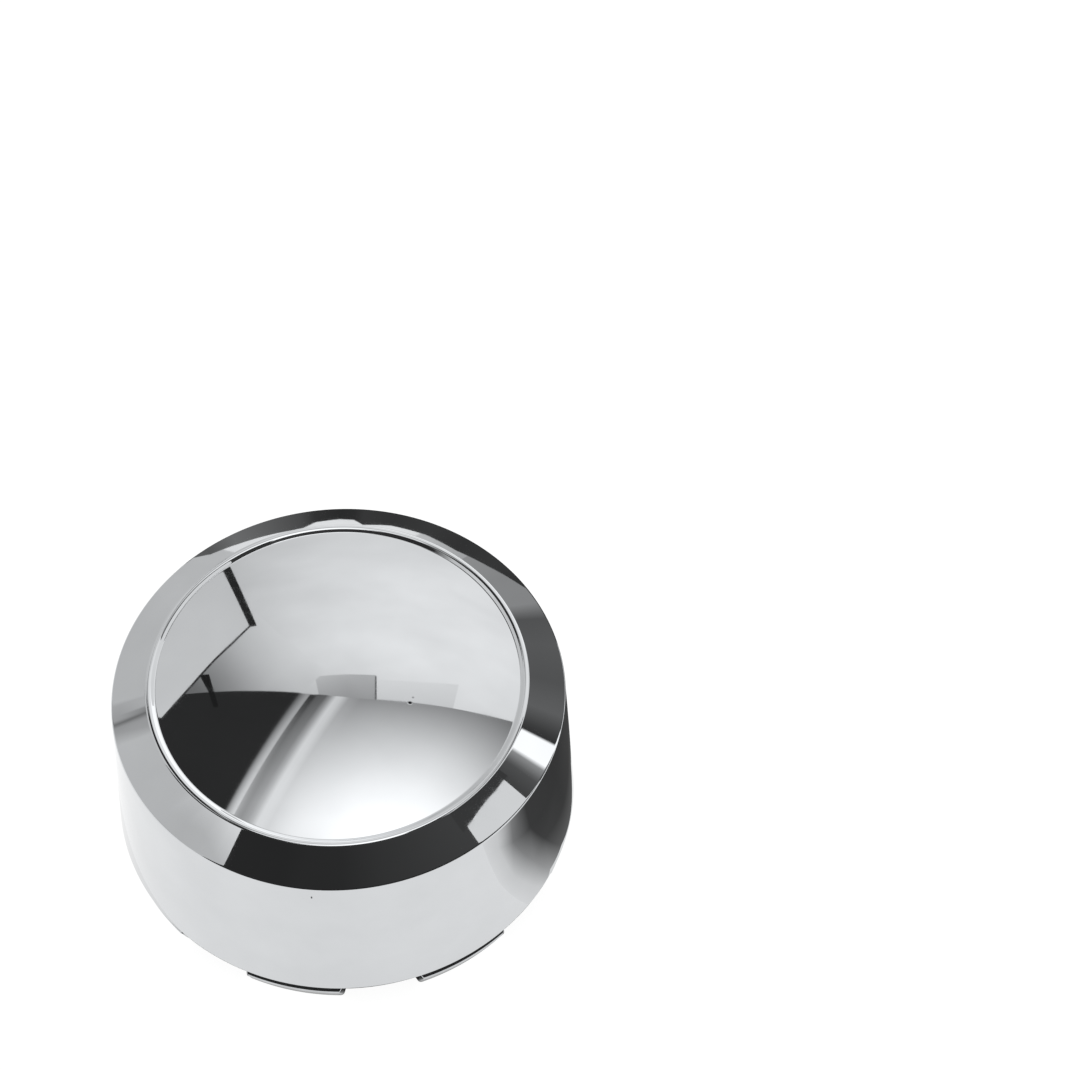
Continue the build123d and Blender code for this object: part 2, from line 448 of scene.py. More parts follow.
def pad_outline():
    """Section of a pad about its own axis, from the middle of its flat end up into the face."""
    ball = DOME_RADIUS - WALL
    edge = PAD_DIAMETER / 2
    flat_z = ball_height(ball, PAD_RADIUS + edge) - PAD_STAND
    top_z = ball_height(ball, PAD_RADIUS - edge) + ROOT
    corners = [(0, top_z, 0), (edge, top_z, 0), (edge, flat_z, PAD_EDGE_ROUND), (0, flat_z, 0)]
    return rounded(corners, CUP_ARC_STEP)


def outward(points):
    """Unit directions square to a closed outline, pointing out of it."""
    spots = [Vector(p) for p in points]
    count = len(spots)
    area = sum(spots[i - 1].cross(spots[i]) for i in range(count))
    hand = 1 if area > 0 else -1
    found = []
    for i in range(count):
        to_here = (spots[i] - spots[i - 1]).normalized()
        to_next = (spots[(i + 1) % count] - spots[i]).normalized()
        along = (to_here + to_next).normalized()
        found.append((hand * along.y, 0, -hand * along.x))
    return found


def drawing():
    """Mesh of the outlines as runs of points: 0 cup, 1 tab as a face, 2 rows across a tab, 3 pad."""
    cup, tab, rows, pad = cup_outline(), tab_outline(), tab_rows(), pad_outline()
    spots = [(r * MM, 0, z * MM) for r, z in cup + tab]
    spots += [(turn, inset * MM, lift * MM) for turn, inset, lift in rows]
    spots += [(r * MM, 0, z * MM) for r, z in pad]
    mesh = bpy.data.meshes.new("cap_drawing")
    mesh.from_pydata(spots, [], [[len(cup) + i for i in range(len(tab))]])
    runs = [0] * len(cup) + [1] * len(tab) + [2] * len(rows) + [3] * len(pad)
    mesh.attributes.new("run", "FLOAT", "POINT").data.foreach_set("value", runs)
    away = [(0, 0, 0)] * len(cup) + outward(tab) + [(0, 0, 0)] * (len(rows) + len(pad))
    away = [part for direction in away for part in direction]
    mesh.attributes.new("outward", "FLOAT_VECTOR", "POINT").data.foreach_set("vector", away)
    # Finishes: 0 outside, 1 inside from the rim's inner edge on, 2 tabs
    inner_edge = max(range(len(cup)), key=lambda i: (cup[i][1] <= RIM_Z, -cup[i][0]))
    finish = [float(i > inner_edge) for i in range(len(cup))]
    finish += [2.0] * (len(tab) + len(rows)) + [1.0] * len(pad)
    mesh.attributes.new("finish", "FLOAT", "POINT").data.foreach_set("value", finish)
    return mesh


def new_tree(name, sockets):
    """An empty Geometry Nodes tree with its inputs, one mesh output, and its group input node."""
    tree = bpy.data.node_groups.new(name, "GeometryNodeTree")
    for label, kind in sockets:
        tree.interface.new_socket(name=label, in_out="INPUT", socket_type=kind)
    tree.interface.new_socket(name="Mesh", in_out="OUTPUT", socket_type="NodeSocketGeometry")
    return tree, node(tree, "NodeGroupInput").outputs


def finish_mesh(tree, mesh):
    """Ends a tree with its mesh welded and shaded smooth, save at crisp edges."""
    closed = node(tree, "GeometryNodeMergeByDistance", [("Geometry", mesh), ("Distance", WELD * MM)])
    smooth = node(tree, "GeometryNodeSetShadeSmooth", [("Geometry", closed.outputs[0])], domain="FACE")
    bend = node(tree, "GeometryNodeInputMeshEdgeAngle")
    crisp = node(tree, "FunctionNodeCompare", [
        ("A", bend.outputs["Unsigned Angle"]),
        ("B", CRISP_ANGLE),
    ], data_type="FLOAT", operation="GREATER_THAN")
    edged = node(tree, "GeometryNodeSetShadeSmooth", [
        ("Geometry", smooth.outputs[0]),
        ("Selection", crisp.outputs[0]),
        ("Shade Smooth", False),
    ], domain="EDGE")
    node(tree, "NodeGroupOutput", [("Mesh", edged.outputs[0])])


def turning_tree():
    """Turns an outline about Z into a closed surface."""
    tree, given = new_tree("turn_outline", [
        ("Outline", "NodeSocketGeometry"),
        ("Segments", "NodeSocketInt"),
    ])
    size = node(tree, "GeometryNodeAttributeDomainSize", [("Geometry", given["Outline"])])
    closing = node(tree, "FunctionNodeIntegerMath", [(0, given["Segments"]), (1, 1)], operation="ADD")
    rows = closing.outputs[0]
    grid = node(tree, "GeometryNodeMeshGrid", [
        ("Vertices X", size.outputs["Point Count"]),
        ("Vertices Y", rows),
    ])
    index = node(tree, "GeometryNodeInputIndex").outputs[0]
    spot = node(tree, "FunctionNodeIntegerMath", [(0, index), (1, rows)], operation="DIVIDE_FLOOR")
    row = node(tree, "FunctionNodeIntegerMath", [(0, index), (1, rows)], operation="MODULO")
    share = node(tree, "ShaderNodeMath", [(0, row.outputs[0]), (1, given["Segments"])], operation="DIVIDE")
    turn = node(tree, "ShaderNodeMath", [(0, share.outputs[0]), (1, 2 * pi)], operation="MULTIPLY")
    place = node(tree, "GeometryNodeInputPosition")
    kept = node(tree, "GeometryNodeInputNamedAttribute", [("Name", "finish")], data_type="FLOAT")
    read = []
    for value, kind in ((place.outputs[0], "FLOAT_VECTOR"), (kept.outputs["Attribute"], "FLOAT")):
        sample = node(tree, "GeometryNodeSampleIndex", [
            ("Geometry", given["Outline"]),
            ("Value", value),
            ("Index", spot.outputs[0]),
        ], data_type=kind)
        read.append(sample.outputs["Value"])
    drawn, finish = read
    turned = node(tree, "ShaderNodeVectorRotate", [
        ("Vector", drawn),
        ("Angle", turn.outputs[0]),
    ], rotation_type="Z_AXIS")
    marked = node(tree, "GeometryNodeStoreNamedAttribute", [
        ("Geometry", grid.outputs["Mesh"]),
        ("Name", "finish"),
        ("Value", finish),
    ], data_type="FLOAT", domain="POINT")
    placed = node(tree, "GeometryNodeSetPosition", [
        ("Geometry", marked.outputs["Geometry"]),
        ("Position", turned.outputs["Vector"]),
    ])
    finish_mesh(tree, placed.outputs["Geometry"])
    return tree


def shrunk(tree, spot, away, inset, lift):
    """A point of a tab's outline drawn in by an inset and kept above a lift."""
    inward = node(tree, "ShaderNodeVectorMath", [(0, away), ("Scale", inset)], operation="SCALE")
    drawn_in = node(tree, "ShaderNodeVectorMath", [(0, spot), (1, inward.outputs[0])], operation="SUBTRACT")
    floor = node(tree, "ShaderNodeCombineXYZ", [("X", -1.0), ("Y", -1.0), ("Z", lift)])
    return node(tree, "ShaderNodeVectorMath", [
        (0, drawn_in.outputs[0]),
        (1, floor.outputs[0]),
    ], operation="MAXIMUM").outputs[0]


def swung(tree, given, spot, turn):
    """A point of a tab's outline swung about Z, by a turn that grows inwards so that the ends flare."""
    parts = node(tree, "ShaderNodeSeparateXYZ", [(0, spot)])
    inward = node(tree, "ShaderNodeMath", [
        (0, given["Tab ridge radius"]),
        (1, parts.outputs["X"]),
    ], operation="SUBTRACT")
    depth = node(tree, "ShaderNodeMath", [
        (0, inward.outputs[0]),
        (1, given["Tab depth"]),
    ], operation="DIVIDE")
    curve = node(tree, "ShaderNodeMath", [(0, depth.outputs[0])], operation="SQRT")
    past = node(tree, "ShaderNodeMath", [(0, curve.outputs[0]), (1, TAB_FLARE_MIDDLE)], operation="SUBTRACT")
    share = node(tree, "ShaderNodeMath", [
        (0, past.outputs[0]),
        (1, given["Tab flare"]),
        (2, 1.0),
    ], operation="MULTIPLY_ADD")
    leaned = node(tree, "ShaderNodeMath", [(0, turn), (1, share.outputs[0])], operation="MULTIPLY")
    return node(tree, "ShaderNodeVectorRotate", [
        ("Vector", spot),
        ("Angle", leaned.outputs[0]),
    ], rotation_type="Z_AXIS").outputs[0]


def tab_tree():
    """Sweeps a tab's outline through its rows and closes both ends with the outline's face."""
    tree, given = new_tree("hook_tab", [
        ("Outline", "NodeSocketGeometry"),
        ("Rows", "NodeSocketGeometry"),
        *((size, "NodeSocketFloat") for size in TAB_SIZES),
    ])
    size, count = (
        node(tree, "GeometryNodeAttributeDomainSize", [("Geometry", given[source])]).outputs["Point Count"]
        for source in ("Outline", "Rows")
    )
    around = node(tree, "FunctionNodeIntegerMath", [(0, size), (1, 1)], operation="ADD")
    grid = node(tree, "GeometryNodeMeshGrid", [("Vertices X", around.outputs[0]), ("Vertices Y", count)])
    index = node(tree, "GeometryNodeInputIndex").outputs[0]
    step = node(tree, "FunctionNodeIntegerMath", [(0, index), (1, count)], operation="DIVIDE_FLOOR")
    spot = node(tree, "FunctionNodeIntegerMath", [(0, step.outputs[0]), (1, size)], operation="MODULO")
    row = node(tree, "FunctionNodeIntegerMath", [(0, index), (1, count)], operation="MODULO")
    place = node(tree, "GeometryNodeInputPosition").outputs[0]
    square = node(tree, "GeometryNodeInputNamedAttribute", [("Name", "outward")], data_type="FLOAT_VECTOR")
    away = square.outputs[0]
    read = []
    for source, value, at in (("Outline", place, spot), ("Outline", away, spot), ("Rows", place, row)):
        sample = node(tree, "GeometryNodeSampleIndex", [
            ("Geometry", given[source]),
            ("Value", value),
            ("Index", at.outputs[0]),
        ], data_type="FLOAT_VECTOR")
        read.append(sample.outputs["Value"])
    drawn, drawn_away, ruled = read
    rule = node(tree, "ShaderNodeSeparateXYZ", [(0, ruled)]).outputs
    side = shrunk(tree, drawn, drawn_away, rule["Y"], rule["Z"])
    swept = node(tree, "GeometryNodeSetPosition", [
        ("Geometry", grid.outputs["Mesh"]),
        ("Position", swung(tree, given, side, rule["X"])),
    ])
    whole = node(tree, "GeometryNodeJoinGeometry", [("Geometry", swept.outputs["Geometry"])])
    end_face = shrunk(tree, place, away, given["Tab side round"], given["Tab end round"])
    for half in (0.5, -0.5):
        turn = node(tree, "ShaderNodeMath", [(0, given["Tab span"]), (1, half)], operation="MULTIPLY")
        end = node(tree, "GeometryNodeSetPosition", [
            ("Geometry", given["Outline"]),
            ("Position", swung(tree, given, end_face, turn.outputs[0])),
        ])
        if half < 0:
            end = node(tree, "GeometryNodeFlipFaces", [("Mesh", end.outputs["Geometry"])])
        tree.links.new(end.outputs[0], whole.inputs["Geometry"])
    marked = node(tree, "GeometryNodeStoreNamedAttribute", [
        ("Geometry", whole.outputs["Geometry"]),
        ("Name", "finish"),
        ("Value", 2.0),
    ], data_type="FLOAT", domain="POINT")
    finish_mesh(tree, marked.outputs["Geometry"])
    return tree


def shell_tree():
    """The whole moulding from its drawing: the turned cup, its tabs and its pads."""
    tree, given = new_tree("cap_shell", [
        ("Drawing", "NodeSocketGeometry"),
        ("Segments", "NodeSocketInt"),
        ("Tab count", "NodeSocketInt"),
        *((size, "NodeSocketFloat") for size in TAB_SIZES),
        ("Pad segments", "NodeSocketInt"),
        ("Pad ring radius", "NodeSocketFloat"),
        ("Outside", "NodeSocketMaterial"),
        ("Inside", "NodeSocketMaterial"),
        ("Tabs", "NodeSocketMaterial"),
    ])
    run = node(tree, "GeometryNodeInputNamedAttribute", [("Name", "run")], data_type="FLOAT")
    runs = []
    for number in range(4):
        chosen = node(tree, "FunctionNodeCompare", [
            ("A", run.outputs["Attribute"]),
            ("B", number),
        ], data_type="FLOAT", operation="EQUAL")
        part = node(tree, "GeometryNodeSeparateGeometry", [
            ("Geometry", given["Drawing"]),
            ("Selection", chosen.outputs[0]),
        ], domain="POINT")
        runs.append(part.outputs["Selection"])
    turning = turning_tree()
    cup = node(tree, "GeometryNodeGroup", [
        ("Outline", runs[0]),
        ("Segments", given["Segments"]),
    ], node_tree=turning)
    tab = node(tree, "GeometryNodeGroup", [
        ("Outline", runs[1]),
        ("Rows", runs[2]),
        *((size, given[size]) for size in TAB_SIZES),
    ], node_tree=tab_tree())
    pad = node(tree, "GeometryNodeGroup", [
        ("Outline", runs[3]),
        ("Segments", given["Pad segments"]),
    ], node_tree=turning)
    pad_spot = node(tree, "ShaderNodeCombineXYZ", [("X", given["Pad ring radius"])])
    pad_out = node(tree, "GeometryNodeTransform", [
        ("Geometry", pad.outputs[0]),
        ("Translation", pad_spot.outputs[0]),
    ])
    places = node(tree, "GeometryNodePoints", [("Count", given["Tab count"])])
    index = node(tree, "GeometryNodeInputIndex")
    pitch = node(tree, "ShaderNodeMath", [(0, 2 * pi), (1, given["Tab count"])], operation="DIVIDE")
    turn = node(tree, "ShaderNodeMath", [(0, index.outputs[0]), (1, pitch.outputs[0])], operation="MULTIPLY")
    about_z = node(tree, "ShaderNodeCombineXYZ", [("Z", turn.outputs[0])])
    moulding = node(tree, "GeometryNodeJoinGeometry", [("Geometry", cup.outputs[0])])
    for copied in (tab.outputs[0], pad_out.outputs["Geometry"]):
        ring = node(tree, "GeometryNodeInstanceOnPoints", [
            ("Points", places.outputs[0]),
            ("Instance", copied),
            ("Rotation", about_z.outputs[0]),
        ])
        tree.links.new(ring.outputs[0], moulding.inputs["Geometry"])
    real = node(tree, "GeometryNodeRealizeInstances", [("Geometry", moulding.outputs[0])])
    plated = node(tree, "GeometryNodeSetMaterial", [
        ("Geometry", real.outputs[0]),
        ("Material", given["Outside"]),
    ])
    finish = node(tree, "GeometryNodeInputNamedAttribute", [("Name", "finish")], data_type="FLOAT")
    for least, surface in ((0.6, "Inside"), (1.6, "Tabs")):
        chosen = node(tree, "FunctionNodeCompare", [
            ("A", finish.outputs["Attribute"]),
            ("B", least),
        ], data_type="FLOAT", operation="GREATER_THAN")
        plated = node(tree, "GeometryNodeSetMaterial", [
            ("Geometry", plated.outputs[0]),
            ("Selection", chosen.outputs[0]),
            ("Material", given[surface]),
        ])
    node(tree, "NodeGroupOutput", [("Mesh", plated.outputs[0])])
    return tree


def cap_shell():
    """The moulding as one plain mesh that stands for its CAD node."""
    maker = bpy.data.objects.new("cap_shell_maker", drawing())
    bpy.context.scene.collection.objects.link(maker)
    modifier = maker.modifiers.new("shell", "NODES")
    modifier.node_group = shell_tree()
    values = {
        "Segments": CUP_SEGMENTS,
        "Tab count": TAB_COUNT,
        "Tab span": TAB_ANGLE,
        "Tab ridge radius": HOOK_RADIUS * MM,
        "Tab depth": TAB_DEPTH * MM,
        "Tab flare": TAB_END_FLARE / TAB_HALF_SPAN,
        "Tab side round": TAB_SIDE_ROUND * MM,
        "Tab end round": TAB_END_ROUND * MM,
        "Pad segments": PAD_SEGMENTS,
        "Pad ring radius": PAD_RADIUS * MM,
        "Outside": chrome_outside(),
        "Inside": chrome_inside(),
        "Tabs": chrome_tabs(),
    }
    for item in modifier.node_group.interface.items_tree:
        if item.in_out == "INPUT" and item.name in values:
            modifier[item.identifier] = values[item.name]
    made = bpy.data.meshes.new_from_object(maker.evaluated_get(bpy.context.evaluated_depsgraph_get()))
    bpy.data.objects.remove(maker)
    made.name = "cap_moulding"
    piece = bpy.data.objects.new("cap_moulding", made)
    bpy.context.scene.collection.objects.link(piece)
    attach(piece, "root")
    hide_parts("cap_shell")


def card_glow(name, crease):
    """Evenly lit cloth or board: glows at each corner's own level, with soft creases across it."""
    material, tree, place = new_material(name)
    level = node(tree, "ShaderNodeAttribute", attribute_name="level")
    # Creases some 150 mm long and 45 mm apart, which the domed face shows much smaller
    creases = patches(tree, place, 45.0, 2.0, (3.4, 3.4, 1.0))
    share = node(tree, "ShaderNodeMix", [
        ("Factor", creases),
        ("A", 1.0 - crease),
        ("B", 1.0 + crease),
    ])
    glow = node(tree, "ShaderNodeEmission", [
        ("Color", level.outputs["Color"]),
        ("Strength", share.outputs[0]),
    ])
    node(tree, "ShaderNodeOutputMaterial", [("Surface", glow.outputs[0])])
    return material


def card(name, glow, rows):
    """Card seen only in reflections, from rows of corners: x right, y away, z up, and level."""
    mesh = bpy.data.meshes.new(name)
    turn = Matrix.Rotation(VIEW_TURN, 3, "Z")
    wide = len(rows[0])
    corners = [c for row in rows for c in row]
    faces = []
    for i in range(len(rows) - 1):
        for j in range(wide - 1):
            faces.append((i * wide + j, i * wide + j + 1, (i + 1) * wide + j + 1, (i + 1) * wide + j))
    mesh.from_pydata([turn @ Vector(c[:3]) * MM for c in corners], [], faces)
    levels = [v for c in corners for v in (c[3], c[3], c[3], 1.0)]
    mesh.attributes.new("level", "FLOAT_COLOR", "POINT").data.foreach_set("color", levels)
    mesh.materials.append(glow)
    made = bpy.data.objects.new(name, mesh)
    bpy.context.scene.collection.objects.link(made)
    made.visible_camera = False
    made.visible_diffuse = False
    made.visible_shadow = False


def sky_card(name, glow, reach, rows):
    """Card by where the cap sees its corners: degrees round from straight away, degrees up, and level."""
    placed = []
    for row in rows:
        spots = []
        for turn, rise, level in row:
            flat = reach * cos(radians(rise))
            across, back = flat * sin(radians(turn)), flat * cos(radians(turn))
            spots.append((across, back, CARD_CENTRE_Z + reach * sin(radians(rise)), level))
        placed.append(spots)
    card(name, glow, placed)


def between(table, spot):
    """Values of a table of rows (spot, value, value ...) at a spot between them."""
    for low, high in zip(table, table[1:]):
        if spot <= high[0]:
            break
    share = min(max((spot - low[0]) / (high[0] - low[0]), 0.0), 1.0)
    return [a + (b - a) * share for a, b in zip(low[1:], high[1:])]


def overhead_rows():
    """Overhead cloth: a dark opening on the left, hanging folds beside it, then the bright lit part."""
    height = 539.7
    lean = 0.482               # the folds run this much sideways as they go back
    lean_from = 260            # depth at which they stand where the table below says
    # Across the folds: far edge, level at the far edge, level towards the camera
    folds = (
        (-340, 327, 0.035, 0.035),
        (-101, 281, 0.035, 0.035),
        (-97, 280, 0.06, 0.06),
        (-91, 278, 0.26, 0.55),
        (-84, 277, 0.45, 0.90),
        (-79.5, 276, 0.50, 1.00),
        (-78, 275, 0.05, 0.62),
        (-71, 274, 0.05, 0.50),
        (-66, 274, 0.15, 0.46),
        (-54, 272, 0.17, 0.58),
        (-46, 270, 0.45, 0.76),
        (-37, 269, 0.94, 1.12),
        (-29, 268, 0.90, 1.14),
        (-18, 266, 0.60, 1.05),
        (0, 264, 0.50, 1.05),
        (120, 260, 0.50, 1.00),
        (340, 250, 0.20, 0.50),
    )
    near_edge = -90
    strips = 24                # of the cloth, from its far edge to its near one
    fold_fade = 180            # depth over which a fold goes from its far level to its near one
    lit_far, lit_gain = 0.45, 0.0067   # lit part: level at the back, and gain for each mm nearer
    lit_back, lit_front = 260, 50      # depths between which it gains
    lit_middle, lit_reach, lit_least = 45, 255, 0.25    # brightest across here, then falling off
    open_from, open_over = -32, 34     # the folds give way to the lit part here, over this width
    spots = [f[0] for f in folds if f[0] < 0] + list(range(0, 345, 17))
    rows = []
    for i in range(strips + 1):
        row = []
        for across in spots:
            edge, far, near = between(folds, across)
            y = edge + (near_edge - edge) * i / strips
            x = across + lean * (y - lean_from)
            share = min(max((edge - y) / fold_fade, 0.0), 1.0)
            folded = far + (near - far) * share
            lit = lit_far + lit_gain * (lit_back - max(y, lit_front))
            lit *= max(1 - ((x - lit_middle) / lit_reach) ** 2, lit_least)
            open_part = min(max((across - open_from) / open_over, 0.0), 1.0)
            row.append((x, y, height, folded + (lit - folded) * open_part))
        rows.append(row)
    return rows


def back_cards(cloth, board):
    """Back cloth, brightest right of the middle, with its hems and a light before it."""
    sky_card("back_cloth", cloth, 760, [
        [(-60, -9, 0.72), (-24, -9, 0.72), (-8, -9, 0.90), (4, -9, 0.80), (20, -9, 0.42), (40, -9, 0.40)],
        [(-60, 12, 0.72), (-24, 12, 0.72), (-8, 12, 0.90), (4, 12, 0.85), (20, 12, 0.60), (40, 12, 0.60)],
        [(-60, 28, 0.74), (-20, 28, 0.76), (-5, 28, 0.92), (6, 28, 0.98), (14, 28, 1.02), (46, 28, 1.00)],
        [(-60, 40, 0.78), (-20, 40, 0.84), (-6, 40, 1.09), (6, 40, 1.17), (14, 40, 1.15), (46, 40, 1.06)],
        [(-60, 51, 0.80), (-20, 51, 0.90), (-5, 51, 1.16), (6, 52, 1.22), (20, 51, 1.17), (50, 46, 1.12)],
        [(-60, 57, 0.80), (-20, 57, 0.88), (-8, 57, 1.02), (4, 57, 1.10), (24, 56, 1.12), (52, 51, 1.12)],
        [(-60, 64, 0.70), (-20, 64, 0.60), (-8, 63, 0.72), (5, 63, 0.84), (27, 62, 1.00), (54, 56, 1.05)],
    ])
    sky_card("back_hem", cloth, 745, [
        [(-12, 57.2, 0.76), (-4, 57.5, 0.68), (3.5, 57.6, 0.66)],
        [(-12, 63.0, 0.42), (-4, 63.0, 0.40), (4.5, 63.0, 0.43)],
    ])
    sky_card("back_hem_edge", board, 742, [
        [(3.2, 57.8, 0.20), (3.6, 57.8, 0.20)],
        [(4.2, 63.0, 0.12), (4.8, 63.0, 0.12)],
    ])
    sky_card("right_hem", cloth, 745, [
        [(4.0, 58.4, 1.02), (14, 57.6, 1.02), (23.7, 55.6, 1.00)],
        [(4.8, 63.0, 0.84), (16, 63.0, 0.86), (27.0, 61.5, 0.84)],
    ])
    # Low between what the bevel and the disc show, so that it draws the white line along the bead's ridge
    sky_card("ridge_light", board, 700, [
        [(-16, 9, 0.80), (-6, 8, 1.40), (4, 8, 1.60), (14, 11, 1.60), (26, 18, 1.60), (40, 29, 1.60)],
        [(-16, 20, 0.90), (-6, 20, 1.50), (4, 20.5, 1.60), (14, 24, 1.60), (26, 32, 1.60), (40, 43, 1.50)],
    ])


def left_cards(board):
    """Left cloth with its taped edge and hem, the shade that it throws behind it, and the dark over it."""
    sky_card("left_shade", board, 735, [
        [(-19.5, 43.0, 0.90), (-28, 46.0, 0.55), (-37, 48.0, 0.22), (-47, 49.0, 0.14)],
        [(-17.0, 48.0, 0.96), (-24, 50.6, 0.74), (-31, 51.8, 0.42), (-37, 52.5, 0.24)],
        [(-13.0, 53.0, 1.00), (-19, 55.0, 0.86), (-24, 56.4, 0.70), (-29, 58.0, 0.50)],
        [(-9.0, 56.5, 1.00), (-12.5, 58.0, 0.86), (-16, 59.5, 0.80), (-21, 61.0, 0.62)],
    ])
    # Round the cloth: turn, rise of its lower edge, level there and at its upper edge
    path = (
        (-16, -9, 0.72, 0.72),
        (-24, -9, 0.72, 0.72),
        (-40, 5, 0.70, 0.70),
        (-61.0, 18, 0.71, 0.71),
        (-62.0, 18.6, 0.58, 0.71),
        (-64.6, 20, 0.52, 0.70),
        (-65.8, 20.6, 0.50, 0.30),
        (-66.8, 21.2, 0.24, 0.22),
        (-67.8, 21.8, 0.46, 0.34),
        (-69.0, 22.4, 0.50, 0.50),
        (-72.5, 24.4, 0.73, 0.54),
        (-74.5, 25.4, 0.73, 0.72),
        (-85, 31, 0.71, 0.72),
        (-98, 37.5, 0.72, 0.78),
        (-106, 41, 0.68, 0.92),
        (-114, 44, 0.68, 1.06),
        (-121.5, 46, 0.70, 1.14),
        (-126.2, 47.2, 0.72, 1.15),
    )
    depth = 2
    sky_card("left_cloth", board, 620, [
        [(turn, min(rise - 6, 0), low) for turn, rise, low, high in path],
        [(turn, rise, low) for turn, rise, low, high in path],
        [(turn, rise + depth, high) for turn, rise, low, high in path],
    ])
    sky_card("left_panel", board, 618, [
        [(-20.9, 20, 0.76), (-34, 20, 0.74), (-46, 20, 0.74), (-51, 20, 0.74)],
        [(-20.9, 33, 0.80), (-34, 36, 0.80), (-47, 38, 0.80), (-51, 38, 0.80)],
        [(-21.2, 44.5, 0.82), (-31, 47.7, 0.85), (-41.2, 49.9, 0.88), (-47.5, 50.3, 0.89)],
    ])
    # On from the panel's end: turn, rises of the lower and upper edges, level at the upper edge
    end = (
        (-51, 17, 34.3, 0.78),
        (-59, 20, 40, 0.84),
        (-67, 23.6, 45.2, 0.87),
        (-75, 27.4, 50.6, 0.90),
        (-85, 32.4, 56, 0.92),
    )
    low_level = 0.75
    sky_card("left_panel_end", board, 618, [
        [(turn, low, low_level) for turn, low, high, level in end],
        [(turn, (low + high) / 2, (low_level + level) / 2) for turn, low, high, level in end],
        [(turn, high, level) for turn, low, high, level in end],
    ])
    gap = ((-46.5, 20, 60), (-62, 20, 67), (-74, 26, 67), (-90, 34, 69), (-108, 44, 71), (-126, 52, 73))
    sky_card("left_gap", board, 640, [
        [(turn, low + share * (high - low), 0.035) for turn, low, high in gap]
        for share in (0, 0.33, 0.67, 1)
    ])
    sky_card("left_tape", board, 612, [
        [(-21.4, 28, 0.03), (-20.2, 28, 0.03)],
        [(-21.8, 45.0, 0.03), (-20.5, 45.2, 0.03)],
    ])
    hem = ((-20.8, 44.3), (-26.1, 46.4), (-31, 47.7), (-36.7, 49.1), (-41.2, 49.8), (-47, 50.3))
    sky_card("left_hem", board, 612, [
        [(turn, rise, 0.05) for turn, rise in hem],
        [(turn, rise + 0.35, 0.05) for turn, rise in hem],
    ])
    sky_card("hanging_clip", board, 605, [
        [(-35.3, 48.7, 0.02), (-33.7, 49.6, 0.02)],
        [(-36.4, 52.2, 0.02), (-35.0, 52.0, 0.02)],
        [(-38.1, 55.0, 0.02), (-37.2, 55.5, 0.02)],
    ])


